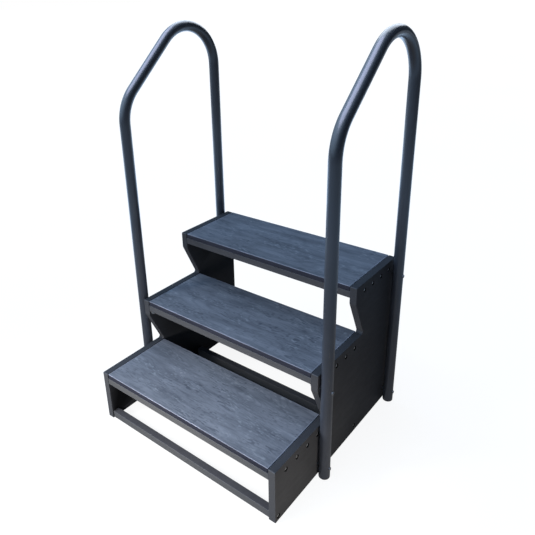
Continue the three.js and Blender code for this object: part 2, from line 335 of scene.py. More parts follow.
class Nodes:
    """A short way to write a node tree."""

    def __init__(self, name):
        self.material = bpy.data.materials.new(name)
        self.material.use_nodes = True
        self.tree = self.material.node_tree
        self.shader = self.tree.nodes["Principled BSDF"]

    def add(self, kind, inputs=(), **settings):
        node = self.tree.nodes.new(kind)
        for key, value in settings.items():
            setattr(node, key, value)
        for key, value in dict(inputs).items():
            self.feed(node, key, value)
        return node

    def feed(self, node, key, value):
        if isinstance(value, bpy.types.NodeSocket):
            self.tree.links.new(value, node.inputs[key])
        else:
            node.inputs[key].default_value = value

    def place(self, scale):
        """Object coordinates, scaled: (1, 1, 1) is metres."""
        coordinates = self.add("ShaderNodeTexCoord").outputs["Object"]
        return self.add(
            "ShaderNodeMapping", {"Vector": coordinates, "Scale": scale}
        ).outputs["Vector"]

    def noise(self, scale, detail=4.0, roughness=0.55, stretch=(1, 1, 1)):
        return self.add(
            "ShaderNodeTexNoise",
            {
                "Vector": self.place(stretch),
                "Scale": scale,
                "Detail": detail,
                "Roughness": roughness,
            },
        ).outputs["Fac"]

    def ramp(self, factor, stops):
        node = self.add("ShaderNodeValToRGB", {"Fac": factor})
        elements = node.color_ramp.elements
        while len(elements) < len(stops):
            elements.new(0.5)
        for element, (position, colour) in zip(elements, stops):
            element.position = position
            element.color = colour
        return node.outputs["Color"]

    def spread(self, factor, low, high, from_low=0.0, from_high=1.0):
        return self.add(
            "ShaderNodeMapRange",
            {
                "Value": factor,
                "From Min": from_low,
                "From Max": from_high,
                "To Min": low,
                "To Max": high,
            },
        ).outputs["Result"]

    def mix(self, factor, first, second):
        node = self.add("ShaderNodeMix", data_type="RGBA")
        for key, value in ((0, factor), (6, first), (7, second)):
            self.feed(node, key, value)
        return node.outputs[2]

    def maths(self, operation, first, second=0.5):
        node = self.add("ShaderNodeMath", operation=operation)
        self.feed(node, 0, first)
        self.feed(node, 1, second)
        return node.outputs["Value"]

    def bump(self, height, strength, distance):
        inputs = {"Height": height, "Strength": strength, "Distance": distance}
        return self.add("ShaderNodeBump", inputs).outputs["Normal"]

    def set(self, **inputs):
        for key, value in inputs.items():
            self.feed(self.shader, key.replace("_", " "), value)
        return self.material


def board_material(name, low, high, front, rough):
    """Satin board with a faint grain, pores and scuffs. Painted light: low front faces are painted
    paler, as if lit from the front; rounded edges get a painted highlight and screw seats a
    painted shade.
    """
    n = Nodes(name)
    clouds = n.noise(6.0, 3.0)
    fibres = n.noise(55.0, 5.0, 0.6, (1, 0.16, 1))
    pores = n.noise(900.0, 2.0, 0.5)
    scuffs = n.noise(23.0, 6.0, 0.7, (1, 0.5, 1.6))
    tone = n.mix(0.35, clouds, fibres)
    colour = n.ramp(tone, [(0.30, low), (0.70, high)])
    worn = n.spread(scuffs, 0.0, 0.30, 0.62, 0.80)
    colour = n.mix(worn, colour, srgb(92, 92, 95))
    # Painted light: faces that point forwards and sit low down are mixed towards the paler front
    # colour, as if lit from the front
    coordinates = n.add("ShaderNodeTexCoord").outputs
    forwards = n.add("ShaderNodeSeparateXYZ", {"Vector": coordinates["Normal"]}).outputs["Y"]
    level = n.add("ShaderNodeSeparateXYZ", {"Vector": coordinates["Object"]}).outputs["Z"]
    low_down = n.spread(level, 1.0, 0.2, 0.20, 0.50)
    in_front = n.spread(forwards, 0.9, 0.0, -0.95, -0.6)
    colour = n.mix(n.maths("MULTIPLY", low_down, in_front), colour, front)
    # Painted highlight: rounded edges marked by the edge values are mixed towards a pale blue-grey
    edge = n.add("ShaderNodeAttribute", attribute_name="edge").outputs["Fac"]
    colour = n.mix(n.maths("MULTIPLY", edge, 0.12), colour, srgb(132, 134, 144))
    # Painted shade: the sunk faces of the screw seats are mixed almost to black
    recess_painted_shade = n.add("ShaderNodeAttribute", attribute_name="recess_painted_shade").outputs["Fac"]
    colour = n.mix(n.maths("MULTIPLY", recess_painted_shade, 0.9), colour, srgb(6, 6, 7))
    roughness = n.spread(scuffs, rough - 0.06, rough + 0.10, 0.3, 0.7)
    roughness = n.maths("SUBTRACT", roughness, n.maths("MULTIPLY", edge, 0.14))
    height = n.mix(0.5, fibres, pores)
    normal = n.bump(height, 0.15, 0.0004)
    return n.set(
        Base_Color=colour, Roughness=roughness, Normal=normal, Specular_IOR_Level=0.05
    )


def tread_material():
    """Slate board with an embossed wood grain; painted highlights make its raised flecks and its
    rounded top edges paler, in patches along the edges.
    """
    n = Nodes("tread_board")
    groove = n.add("ShaderNodeAttribute", attribute_name="groove").outputs["Fac"]
    ridge = n.add("ShaderNodeAttribute", attribute_name="ridge").outputs["Fac"]
    edge = n.add("ShaderNodeAttribute", attribute_name="edge").outputs["Fac"]
    face = n.add("ShaderNodeAttribute", attribute_name="face").outputs["Fac"]
    bands = n.noise(34.0, 4.0, 0.6, (0.16, 1, 1))
    fibres = n.noise(160.0, 5.0, 0.62, (0.10, 1, 1))
    specks = n.noise(420.0, 3.0, 0.6, (0.3, 1, 1))
    tone = n.mix(0.3, bands, fibres)
    top = n.ramp(tone, [(0.34, srgb(72, 76, 84)), (0.66, srgb(105, 109, 118))])
    top = n.mix(n.maths("MULTIPLY", groove, 0.56), top, srgb(48, 53, 62))
    # Painted highlight: the raised flecks are mixed paler, as where ridges catch the light
    top = n.mix(n.maths("MULTIPLY", ridge, 0.36), top, srgb(134, 140, 148))
    pale = n.spread(specks, 0.0, 0.18, 0.60, 0.76)
    top = n.mix(pale, top, srgb(128, 134, 142))
    side = n.ramp(tone, [(0.32, srgb(36, 37, 46)), (0.68, srgb(46, 47, 56))])
    colour = n.mix(face, side, top)
    # Painted highlight: the rounded top edges are mixed towards a pale lavender, in patches
    patchy_highlight = n.spread(n.noise(7.0, 3.0), 0.25, 0.9, 0.38, 0.62)
    colour = n.mix(n.maths("MULTIPLY", edge, patchy_highlight), colour, srgb(176, 176, 192))
    roughness = n.spread(fibres, 0.46, 0.66, 0.3, 0.7)
    height = n.mix(0.6, specks, fibres)
    normal = n.bump(height, 0.35, 0.0005)
    return n.set(
        Base_Color=colour, Roughness=roughness, Normal=normal, Specular_IOR_Level=0.12
    )


def tube_material():
    """Powder coat, half gloss, with a faint orange peel."""
    n = Nodes("tube_paint")
    peel = n.noise(620.0, 2.0, 0.5)
    clouds = n.noise(5.0, 2.0)
    smears = n.noise(34.0, 5.0, 0.65)
    colour = n.ramp(clouds, [(0.35, srgb(40, 43, 50)), (0.65, srgb(48, 51, 58))])
    roughness = n.spread(smears, 0.30, 0.44, 0.3, 0.7)
    normal = n.bump(peel, 0.12, 0.0003)
    return n.set(
        Base_Color=colour, Roughness=roughness, Normal=normal, Coat_Weight=0.8, Coat_Roughness=0.22
    )


def plastic_material(name, low, high, rough):
    """Moulded plastic with a fine spark-eroded texture."""
    n = Nodes(name)
    spark = n.noise(1500.0, 2.0, 0.6)
    clouds = n.noise(40.0, 3.0)
    colour = n.ramp(clouds, [(0.35, low), (0.65, high)])
    roughness = n.spread(spark, rough - 0.05, rough + 0.07, 0.3, 0.7)
    normal = n.bump(spark, 0.3, 0.0002)
    return n.set(Base_Color=colour, Roughness=roughness, Normal=normal)


def steel_material(name, low, high, rough):
    """Plated steel with fine marks and dull patches."""
    n = Nodes(name)
    patches = n.noise(260.0, 4.0, 0.6)
    marks = n.noise(1800.0, 2.0, 0.5)
    colour = n.ramp(patches, [(0.35, low), (0.65, high)])
    roughness = n.spread(patches, rough - 0.06, rough + 0.10, 0.3, 0.7)
    normal = n.bump(marks, 0.08, 0.0001)
    return n.set(Base_Color=colour, Roughness=roughness, Normal=normal, Metallic=0.75)


# The third colour of each board is its painted front light, for front faces low down
PANEL = board_material("panel_board", srgb(45, 46, 50), srgb(54, 56, 60), srgb(66, 66, 68), 0.48)
BATTEN = board_material("batten_board", srgb(54, 54, 58), srgb(63, 63, 66), srgb(74, 74, 75), 0.46)
TREAD = tread_material()
TUBE = tube_material()
PLUG = plastic_material("plug_plastic", srgb(44, 45, 48), srgb(54, 55, 58), 0.50)
SPACER = plastic_material("spacer_nylon", srgb(30, 30, 32), srgb(38, 38, 40), 0.45)
BOLT = steel_material("bolt_steel", srgb(108, 110, 114), srgb(140, 142, 146), 0.30)
ZINC = steel_material("zinc_steel", srgb(150, 152, 156), srgb(186, 188, 190), 0.32)


# ---------------------------------------------------------------- places shared by pieces

def step_top(step):
    return box_of(f"tread_board_{step}")[1][2]


def step_nose(step):
    """The front edge of a step in the panels, worked out from the distance between treads."""
    panel_front = box_of("side_panel_left")[0][1]
    first = box_of("tread_board_1")[0][1]
    return panel_front + box_of(f"tread_board_{step}")[0][1] - first


def screw_places():
    """The (y, z) of every screw in a panel."""
    places = []
    for step in STEPS:
        height = centre_of(f"end_cleat_{step}_left")[2]
        for i in range(SCREWS_PER_CLEAT):
            places.append((step_nose(step) + FIRST_SCREW + i * SCREW_PITCH, height))
    for rail in ("front_rail", "middle_rail"):
        middle = centre_of(rail)
        places.append((middle[1], middle[2]))
    return places


def bolt_places():
    """The (y, z) of every handrail bolt."""
    return [centre_of(f"nut_left_{place}")[1:] for place in BOLT_PLACES]


def placed_copies(mesh, x, places, side):
    """Copies of a cutter at each (y, z), facing outwards."""
    copies = []
    for y, z in places:
        placed = mesh.copy()
        placed.transform(Matrix.Translation((x, y, z)) @ outwards(side))
        copies.append(placed)
    return copies


# ---------------------------------------------------------------- side panels

def rounded_outline(corners, count=8):
    """Points round a closed outline of (y, z, radius) corners."""
    points = []
    total = len(corners)
    for i, (y, z, radius) in enumerate(corners):
        here = Vector((y, z))
        back = (Vector(corners[i - 1][:2]) - here).normalized()
        ahead = (Vector(corners[(i + 1) % total][:2]) - here).normalized()
        half = math.acos(max(-1.0, min(1.0, back.dot(ahead)))) / 2
        reach = radius / math.tan(half)
        centre = here + (back + ahead).normalized() * (radius / math.sin(half))
        start = here + back * reach
        end = here + ahead * reach
        if radius < 1e-9:
            points.append((y, z))
            continue
        first = math.atan2(start.y - centre.y, start.x - centre.x)
        last = math.atan2(end.y - centre.y, end.x - centre.x)
        sweep = (last - first + math.pi) % (2 * math.pi) - math.pi
        for k in range(count + 1):
            angle = first + sweep * k / count
            points.append(
                (centre.x + radius * math.cos(angle), centre.y + radius * math.sin(angle))
            )
    return points


def inset(points, distance):
    """The outline moved inwards; its points run anticlockwise."""
    moved = []
    total = len(points)
    for i in range(total):
        here = Vector(points[i])
        before = (here - Vector(points[i - 1])).normalized()
        after = (Vector(points[(i + 1) % total]) - here).normalized()
        normal = Vector((-before.y, before.x)) + Vector((-after.y, after.x))
        normal.normalize()
        spread = max(0.2, normal.dot(Vector((-after.y, after.x))))
        moved.append(tuple(here + normal * (distance / spread)))
    return moved


def rounded_plate(name, outline, x_low, x_high, edge):
    """A plate across X with its outline in (y, z) and all its edges rounded."""
    stations = []
    for degrees in (0, 30, 60, 90):
        a = math.radians(degrees)
        stations.append((x_low + edge * (1 - math.sin(a)), edge * (1 - math.cos(a))))
    stations.reverse()
    for degrees in (0, 30, 60, 90):
        a = math.radians(degrees)
        stations.append((x_high - edge * (1 - math.sin(a)), edge * (1 - math.cos(a))))
    total = len(outline)
    points = []
    for x, depth in stations:
        points += [(x, y, z) for y, z in inset(outline, depth)]
    faces = [list(range(total))[::-1]]
    for s in range(len(stations) - 1):
        for i in range(total):
            j = (i + 1) % total
            low = s * total
            faces.append([low + i, low + j, low + total + j, low + total + i])
    last = (len(stations) - 1) * total
    faces.append([last + i for i in range(total)])
    plate = face_outwards(mesh_from(name, points, faces))
    # The edge values mark the rounded edges, most on tight corners, where the board material
    # paints a highlight
    xs = np.array([vertex.co.x for vertex in plate.vertices])
    rim = np.minimum(xs - x_low, x_high - xs)
    ring = np.array(outline)
    step = np.linalg.norm(np.roll(ring, -1, axis=0) - ring, axis=1)
    tight = (step < ARRIS_STEP) & (np.roll(step, 1) < ARRIS_STEP)
    corners = np.tile(tight, len(stations)) & (rim > 0.05 * edge)
    along = 0.4 * ((rim > 0.05 * edge) & (rim < 0.95 * edge))
    add_values(plate, "edge", np.maximum(along, corners))
    return plate


def panel_corners(low, high):
    corners = [(low[1], low[2], PANEL_CORNER), (low[1], step_top(1), PANEL_CORNER)]
    for step in STEPS[1:]:
        nose = step_nose(step)
        corners.append((nose + FOOT_SETBACK, step_top(step - 1), FOOT_RADIUS))
        corners.append((nose, step_top(step) - NOSE_DROP, KNEE_RADIUS))
        corners.append((nose, step_top(step), PANEL_CORNER))
    corners += [(high[1], high[2], PANEL_CORNER), (high[1], low[2], PANEL_CORNER)]
    return corners[::-1]


def screw_seat(depth):
    """The hole for a screw: a round seat with a softened rim, and a hole on through."""
    radius = SCREW_SEAT_RADIUS
    return [
        (0.0, -depth - OVERRUN),
        (SCREW_HOLE_RADIUS, -depth - OVERRUN),
        (SCREW_HOLE_RADIUS, -SCREW_SEAT_DEPTH),
        (radius - SCREW_SEAT_CORNER, -SCREW_SEAT_DEPTH),
        (radius, -SCREW_SEAT_DEPTH + SCREW_SEAT_CORNER),
        (radius, -SCREW_SEAT_RIM),
        (radius + SCREW_SEAT_RIM, 0.02 * MM),
        (radius + SCREW_SEAT_RIM, OVERRUN),
        (0.0, OVERRUN),
    ]


def make_panel(side_name, side):
    node = f"side_panel_{side_name}"
    low, high = box_of(node)
    outline = rounded_outline(panel_corners(low, high))
    name = f"panel_{side_name}"
    plate = new_object(name, rounded_plate(name, outline, low[0], high[0], PANEL_EDGE))
    thickness = high[0] - low[0]
    outer = high[0] if side > 0 else low[0]
    seat = lathe("seat", screw_seat(thickness), 32)
    bore = cylinder("bore", BOLT_HOLE_RADIUS, -40 * MM, 5 * MM)
    cutters = placed_copies(seat, outer, screw_places(), side)
    cutters += placed_copies(bore, outer, bolt_places(), side)
    cut(plate, cutters)
    # Painted shade: the sunk faces round each screw are marked for the board material to paint
    # near black
    places = np.array([vertex.co for vertex in plate.data.vertices])
    sunk = abs(outer - places[:, 0]) > 0.4 * MM
    near = [np.hypot(places[:, 1] - y, places[:, 2] - z) for y, z in screw_places()]
    recess_painted_shade = sunk & (np.min(near, axis=0) < SCREW_SEAT_RADIUS + 0.1 * MM)
    add_values(plate.data, "recess_painted_shade", recess_painted_shade)
    shade(plate, 30)
    plate.modifiers.new("even_shading", "WEIGHTED_NORMAL").keep_sharp = True
    return finish_piece(plate, PANEL, "panel_board", node)


# ---------------------------------------------------------------- boards and treads

def tread_section(low, high, rows):
    """The (y, z, which) points round a tread's end: which is 1 on the face, 0 elsewhere."""
    r = BOARD_EDGE
    bottom = 0.6 * MM
    section = [(low[1] + bottom, low[2], 0.0), (low[1], low[2] + bottom, 0.0)]
    for y, z in arc((low[1] + r, high[2] - r), r, 180, 90, 6):
        section.append((y, z, 0.0))
    for y in np.linspace(low[1] + r, high[1] - r, rows)[1:-1]:
        section.append((y, high[2], 1.0))
    for y, z in arc((high[1] - r, high[2] - r), r, 90, 0, 6):
        section.append((y, z, 0.0))
    section += [(high[1], low[2] + bottom, 0.0), (high[1] - bottom, low[2], 0.0)]
    return np.array(section)


def make_tread(step):
    node = f"tread_board_{step}"
    low, high = box_of(node)
    columns = 380
    rows = 185
    low[0] += TREAD_END_GAP
    high[0] -= TREAD_END_GAP
    section = tread_section(low, high, rows)
    count = len(section)
    edge = BOARD_EDGE
    ends = [(low[0] + edge * (1 - math.cos(a)), edge * (1 - math.sin(a)))
            for a in np.radians((0, 30, 60))]
    inner = [(x, 0.0) for x in np.linspace(low[0] + edge, high[0] - edge, columns)]
    stations = ends + inner + [(low[0] + high[0] - x, d) for x, d in reversed(ends)]
    middle = np.array([(low[1] + high[1]) / 2, (low[2] + high[2]) / 2])
    size = np.array([high[1] - low[1], high[2] - low[2]])
    xs = np.array([x for x, _ in stations])
    grid_x, grid_y = np.meshgrid(xs, section[:, 0], indexing="ij")
    grooves, ridges = wood_figure(grid_x, grid_y, 100 * step)
    inside = np.minimum.reduce([
        grid_x - low[0], high[0] - grid_x, grid_y - low[1], high[1] - grid_y
    ])
    fade = np.clip((inside - edge) / (2.0 * MM), 0, 1)
    face = section[:, 2][None, :] * fade
    depth = (0.35 + 0.65 * grooves - 0.35 * ridges) * face
    points = []
    for (x, d), sunk in zip(stations, depth):
        scale = (size - 2 * d) / size
        ring = middle + (section[:, :2] - middle) * scale
        ring[:, 1] -= sunk * GRAIN_DEPTH
        points += [(x, y, z) for y, z in ring]
    faces = [list(range(count))]
    for s in range(len(stations) - 1):
        for i in range(count):
            j = (i + 1) % count
            at = s * count
            faces.append([at + j, at + i, at + count + i, at + count + j])
    last = (len(stations) - 1) * count
    faces.append([last + i for i in reversed(range(count))])
    mesh = mesh_from(f"tread_{step}", points, faces)
    mesh.shade_smooth()
    drop = np.broadcast_to(high[2] - section[:, 1], inside.shape)
    # The edge values mark the rounded top edges, where the tread material paints a highlight
    near_top = np.clip(1.0 - drop / edge, 0, 1)
    near_rim = np.clip(1.0 - inside / (2.2 * MM), 0, 1)
    add_values(mesh, "groove", (grooves * face).ravel())
    add_values(mesh, "ridge", (ridges * face).ravel())
    add_values(mesh, "edge", (near_rim * near_top).ravel())
    add_values(mesh, "face", (near_top > 0.3).astype(float).ravel())
    tread = new_object(f"tread_{step}", mesh)
    shade(tread, 50)
    return finish_piece(tread, TREAD, "tread_board", node)


def make_board(name, node, edge):
    """A plain board with rounded edges, in place of a CAD box."""
    low, high = box_of(node)
    work = bmesh.new()
    bmesh.ops.create_cube(work, size=1.0)
    size = Vector(high - low)
    for vertex in work.verts:
        vertex.co = Vector((low + high) / 2) + Vector(
            (vertex.co.x * size.x, vertex.co.y * size.y, vertex.co.z * size.z)
        )
    bmesh.ops.bevel(
        work, geom=work.edges[:], offset=edge, segments=3, profile=0.5, affect="EDGES"
    )
    mesh = bpy.data.meshes.new(name)
    work.to_mesh(mesh)
    work.free()
    # The edge values mark the rounded edges, where the board material paints a highlight
    places = np.array([vertex.co for vertex in mesh.vertices])
    to_faces = np.minimum(places - low, high - places)
    add_values(mesh, "edge", (to_faces < 0.98 * edge).sum(axis=1) > 1)
    board = new_object(name, mesh)
    shade(board, 50)
    board.modifiers.new("even_shading", "WEIGHTED_NORMAL").keep_sharp = True
    return finish_piece(board, BATTEN, "batten_board", node)


# ---------------------------------------------------------------- handrails

def rail_path(x):
    """Knots (point, direction) along a handrail's centre line, in its own plane."""
    front_y = centre_of("foot_plug_left_front")[1]
    rear_y = centre_of("foot_plug_left_rear")[1]
    low, high = box_of("handrail_left")
    top_y = rear_y - BEND_RADIUS
    top_z = high[2] - TUBE_RADIUS - BEND_RADIUS
    first_y = front_y + BEND_RADIUS
    first_z = top_z - (top_y - first_y) * math.tan(RAIL_SLOPE)
    knots = []

    def leg(y, start, end, angle):
        for z in np.linspace(start, end, 24):
            knots.append(((x, y, z), angle))

    def bend(y, z, start, end):
        count = max(2, round(abs(end - start) / math.radians(3)))
        for angle in np.linspace(start, end, count + 1):
            at = angle + math.pi / 2
            knots.append(
                ((x, y + BEND_RADIUS * math.cos(at), z + BEND_RADIUS * math.sin(at)), angle)
            )

    up = math.pi / 2
    leg(front_y, low[2], first_z - 1 * MM, up)
    bend(first_y, first_z, up, RAIL_SLOPE)
    bend(top_y, top_z, RAIL_SLOPE, -up)
    leg(rear_y, top_z - 1 * MM, low[2], -up)
    return knots


def sweep(name, knots, outer, wall):
    """A hollow tube along the knots, with a small chamfer at each end."""
    chamfer = 0.4 * MM
    rings = []
    first_point, first_angle = knots[0]
    last_point, last_angle = knots[-1]
    for (x, y, z), angle in knots:
        rings.append((x, y, z, angle, outer))
    rings[0] = (*rings[0][:4], outer - chamfer)
    rings.insert(1, (first_point[0], first_point[1], first_point[2] + chamfer, first_angle, outer))
    rings[-1] = (*rings[-1][:4], outer - chamfer)
    rings.insert(-1, (last_point[0], last_point[1], last_point[2] + chamfer, last_angle, outer))
    inner = [(*ring[:4], outer - wall) for ring in reversed(rings)]
    points = []
    for x, y, z, angle, radius in rings + inner:
        across = Vector((0, -math.sin(angle), math.cos(angle)))
        for i in range(TUBE_SIDES):
            a = 2 * math.pi * i / TUBE_SIDES
            offset = Vector((1, 0, 0)) * math.cos(a) + across * math.sin(a)
            points.append(Vector((x, y, z)) + offset * radius)
    faces = []
    total = len(rings) * 2
    for s in range(total):
        t = (s + 1) % total
        for i in range(TUBE_SIDES):
            j = (i + 1) % TUBE_SIDES
            faces.append([
                s * TUBE_SIDES + i, s * TUBE_SIDES + j, t * TUBE_SIDES + j, t * TUBE_SIDES + i
            ])
    return face_outwards(mesh_from(name, points, faces))


def make_handrail(side_name, side):
    node = f"handrail_{side_name}"
    x = centre_of(node)[0]
    name = f"tube_{side_name}"
    tube = new_object(name, sweep(name, rail_path(x), TUBE_RADIUS, TUBE_WALL))
    bore = cylinder("bore", BOLT_HOLE_RADIUS, -25 * MM, 25 * MM, 24)
    cut(tube, placed_copies(bore, x, bolt_places(), side))
    shade(tube, 40)
    return finish_piece(tube, TUBE, "tube_paint", node)


def make_foot_plug(side_name, place):
    node = f"foot_plug_{side_name}_{place}"
    low, high = box_of(node)
    radius = (high[0] - low[0]) / 2
    flange = box_of(f"handrail_{side_name}")[0][2] - FIT_GAP
    round_edge = min(4.0 * MM, flange - 0.6 * MM)
    spigot = radius - TUBE_WALL - SPIGOT_CLEARANCE
    root = spigot - 0.8 * MM
    height = high[2] - low[2]
    profile = [(0.0, 0.5 * MM), (radius * 0.45, 0.5 * MM), (radius * 0.55, 0.0)]
    profile += arc((radius - round_edge, round_edge), round_edge, -90, 0, 8)
    profile += [(radius, flange - 0.3 * MM), (radius - 0.3 * MM, flange), (root, flange)]
    ribs = 3
    pitch = (height - flange - 2 * MM) / ribs
    for i in range(ribs):
        start = flange + i * pitch
        profile += [(root, start + 0.45 * pitch), (spigot, start + 0.55 * pitch)]
        profile += [(spigot, start + 0.7 * pitch), (root, start + 0.95 * pitch)]
    profile += [(spigot - 2 * MM, height), (0.0, height)]
    name = f"tube_foot_{side_name}_{place}"
    plug = new_object(name, lathe(name, profile))
    middle = (low + high) / 2
    plug.data.transform(Matrix.Translation((middle[0], middle[1], low[2])))
    shade(plug, 40)
    return finish_piece(plug, PLUG, "plug_plastic", node)


# ---------------------------------------------------------------- fasteners

def thread_profile(start, end, radius, pitch):
    """Ridges and roots of a thread, as a lathe profile."""
    points = []
    count = int((end - start) / pitch)
    for i in range(count):
        at = start + i * pitch
        points += [(radius - 0.55 * pitch, at + 0.1 * pitch), (radius, at + 0.5 * pitch)]
    points.append((radius - 0.55 * pitch, start + count * pitch + 0.1 * pitch))
    return points


def bolt_mesh(name, length, head_radius, head_height):
    """A dome-head bolt along +Z: z = 0 is under the head, and the shank goes down."""
    shank = BOLT_RADIUS
    lead = 1.2 * MM
    fillet = 0.4 * MM
    dome = [(head_radius, 0.0), (head_radius, HEAD_RIM)]
    for a in np.radians((12, 25, 38, 51, 64, 77)):
        dome.append((head_radius * math.cos(a), HEAD_RIM + (head_height - HEAD_RIM) * math.sin(a)))
    thread_start = -length + BOLT_THREAD
    profile = [(0.0, -length), (shank - lead, -length)]
    profile += thread_profile(-length + lead, thread_start, shank, BOLT_PITCH)
    profile += [(shank, thread_start + 1.6 * MM), (shank, -fillet), (shank + fillet, 0.0)]
    profile += dome + [(0.0, head_height)]
    body = new_object(name, lathe(name, profile))
    socket = lathe("socket", [
        (0.0, head_height - 2.2 * MM), (SOCKET_RADIUS, head_height - 1.6 * MM),
        (SOCKET_RADIUS, head_height + OVERRUN), (0.0, head_height + OVERRUN)], 6)
    cut(body, [socket])
    made = body.data
    bpy.data.objects.remove(body)
    return made


def nut_mesh(name, across, thickness):
    """A hexagon nut along +Z from z = 0, chamfered at both ends."""
    corner = across / math.sqrt(3)
    hexagon = new_object(name, lathe(name, [
        (0.0, 0.0), (corner, 0.0), (corner, thickness), (0.0, thickness)], 6))
    past = 0.1 * MM
    wide = corner + 0.2 * MM
    flat = across / 2 - past
    keep = lathe("keep", [
        (0.0, -past), (flat, -past), (wide, NUT_CHAMFER), (wide, thickness - NUT_CHAMFER),
        (flat, thickness + past), (0.0, thickness + past)], 48)
    cut(hexagon, [keep], "INTERSECT")
    cut(hexagon, [cylinder("hole", BOLT_HOLE_RADIUS, -OVERRUN, 9 * MM)])
    made = hexagon.data
    bpy.data.objects.remove(hexagon)
    return made


def ring_mesh(name, inner, outer, thickness, edge):
    """A flat ring along +Z from z = 0 with rounded edges."""
    profile = arc((inner + edge, edge), edge, 180, 270, 4)
    profile += arc((outer - edge, edge), edge, -90, 0, 4)
    profile += arc((outer - edge, thickness - edge), edge, 0, 90, 4)
    profile += arc((inner + edge, thickness - edge), edge, 90, 180, 4)
    return lathe(name, profile)


def slot_mesh(top, turn):
    """One arm of the cross in a screw's head: a wedge that narrows as it goes down."""
    work = bmesh.new()
    bmesh.ops.create_cube(work, size=1.0)
    for vertex in work.verts:
        upper = vertex.co.z > 0
        reach = CROSS_REACH if upper else CROSS_FOOT
        height = top + OVERRUN if upper else top - CROSS_DEPTH
        vertex.co = Vector((2 * vertex.co.x * reach, vertex.co.y * CROSS_WIDTH, height))
    bmesh.ops.rotate(work, verts=work.verts, matrix=Matrix.Rotation(turn, 3, "Z"))
    mesh = bpy.data.meshes.new("slot")
    work.to_mesh(mesh)
    work.free()
    return mesh


def ring_like(name, node, edge):
    """A ring the size of a CAD node on the right side, and the X where it starts."""
    low, high = box_of(node)
    ring = ring_mesh(name, BOLT_HOLE_RADIUS, (high[1] - low[1]) / 2, high[0] - low[0], edge)
    return ring, low[0]


def screw_mesh(name):
    """A pan-head screw along +Z: z = 0 is under its head, and the shank goes down."""
    head = SCREW_HEAD_RADIUS
    tall = SCREW_HEAD_HEIGHT
    crest = SCREW_CORE_RADIUS + SCREW_CREST
    profile = [(0.0, -SCREW_LENGTH), (0.5 * MM, -SCREW_LENGTH + 1 * MM)]
    profile += thread_profile(-SCREW_LENGTH + 4 * MM, -6 * MM, crest, SCREW_PITCH_OF_THREAD)
    profile += [(SCREW_CORE_RADIUS, -4 * MM), (SCREW_CORE_RADIUS, 0.0)]
    profile += [(head - 0.2 * MM, 0.0), (head, 0.2 * MM)]
    round_edge = 1.6 * MM
    profile += arc((head - round_edge, tall - round_edge), round_edge, 0, 80, 6)
    profile.append((0.0, tall + 0.1 * MM))
    body = new_object(name, lathe(name, profile, 32))
    for turn in (0, math.pi / 2):
        cut(body, [slot_mesh(tall, turn)])
    made = body.data
    bpy.data.objects.remove(body)
    return made


def set_in_place(name, mesh, position, side, turn=0.0):
    """Sets a fastener in a hole, facing outwards and turned about its own axis."""
    piece = new_object(name, mesh)
    spin = Matrix.Rotation(turn, 4, "Z")
    piece.matrix_world = Matrix.Translation(position) @ outwards(side) @ spin
    return piece


def own_mesh(mesh, name):
    """A copy of a mesh, so that every piece has its own."""
    copied = mesh.copy()
    copied.name = name
    return copied


def make_handrail_fasteners():
    low, high = box_of("handrail_bolt_right_front_lower")
    head_x = box_of("handrail_right")[1][0] + FIT_GAP
    length = head_x - low[0]
    bolt = bolt_mesh("bolt", length, (high[1] - low[1]) / 2, high[0] - head_x)
    nut_low, nut_high = box_of("nut_right_front_lower")
    nut = nut_mesh("hex_nut", min(nut_high[1:] - nut_low[1:]), nut_high[0] - nut_low[0])
    washer, washer_x = ring_like("flat_washer", "washer_right_front_lower", 0.3 * MM)
    spacer, spacer_x = ring_like("tube_spacer", "spacer_right_front_lower", 0.5 * MM)
    kinds = (
        ("bolt", "handrail_bolt", bolt, head_x, BOLT, "fastener_steel"),
        ("hex_nut", "nut", nut, nut_low[0], ZINC, "fastener_steel"),
        ("flat_washer", "washer", washer, washer_x, ZINC, "fastener_steel"),
        ("tube_spacer", "spacer", spacer, spacer_x, SPACER, "plug_plastic"),
    )
    rng = np.random.default_rng(7)
    for side_name, side in SIDES.items():
        for place in BOLT_PLACES:
            y, z = centre_of(f"nut_{side_name}_{place}")[1:]
            for base, node_base, mesh, start, material, slot in kinds:
                name = f"{base}_{side_name}_{place}"
                turn = rng.uniform(0, math.pi) if base == "bolt" else 0.0
                piece = set_in_place(name, own_mesh(mesh, name), (side * start, y, z), side, turn)
                shade(piece, 30)
                finish_piece(piece, material, slot, f"{node_base}_{side_name}_{place}")


def make_screws():
    mesh = screw_mesh("screw")
    rng = np.random.default_rng(3)
    for side_name, side in SIDES.items():
        low, high = box_of(f"side_panel_{side_name}")
        outer = high[0] if side > 0 else low[0]
        seat = abs(outer) - SCREW_SEAT_DEPTH
        for i, (y, z) in enumerate(screw_places()):
            name = f"screw_{side_name}_{i + 1:02d}"
            turn = rng.uniform(0, math.pi / 2)
            piece = set_in_place(name, own_mesh(mesh, name), (side * seat, y, z), side, turn)
            shade(piece, 30)
            finish_piece(piece, ZINC, "fastener_steel")


# ---------------------------------------------------------------- the block

for side_name, side in SIDES.items():
    make_panel(side_name, side)
    make_handrail(side_name, side)
    make_foot_plug(side_name, "front")
    make_foot_plug(side_name, "rear")

for step in STEPS:
    make_tread(step)
    make_board(f"apron_{step}", f"front_apron_{step}", BOARD_BEVEL)
    make_board(f"batten_{step}", f"rear_batten_{step}", BOARD_BEVEL)
    for side_name in SIDES:
        make_board(f"cleat_{step}_{side_name}", f"end_cleat_{step}_{side_name}", CLEAT_BEVEL)

make_board("rail_front", "front_rail", BOARD_BEVEL)
make_board("rail_middle", "middle_rail", BOARD_BEVEL)
make_handrail_fasteners()
make_screws()


# ---------------------------------------------------------------- floor, light and camera

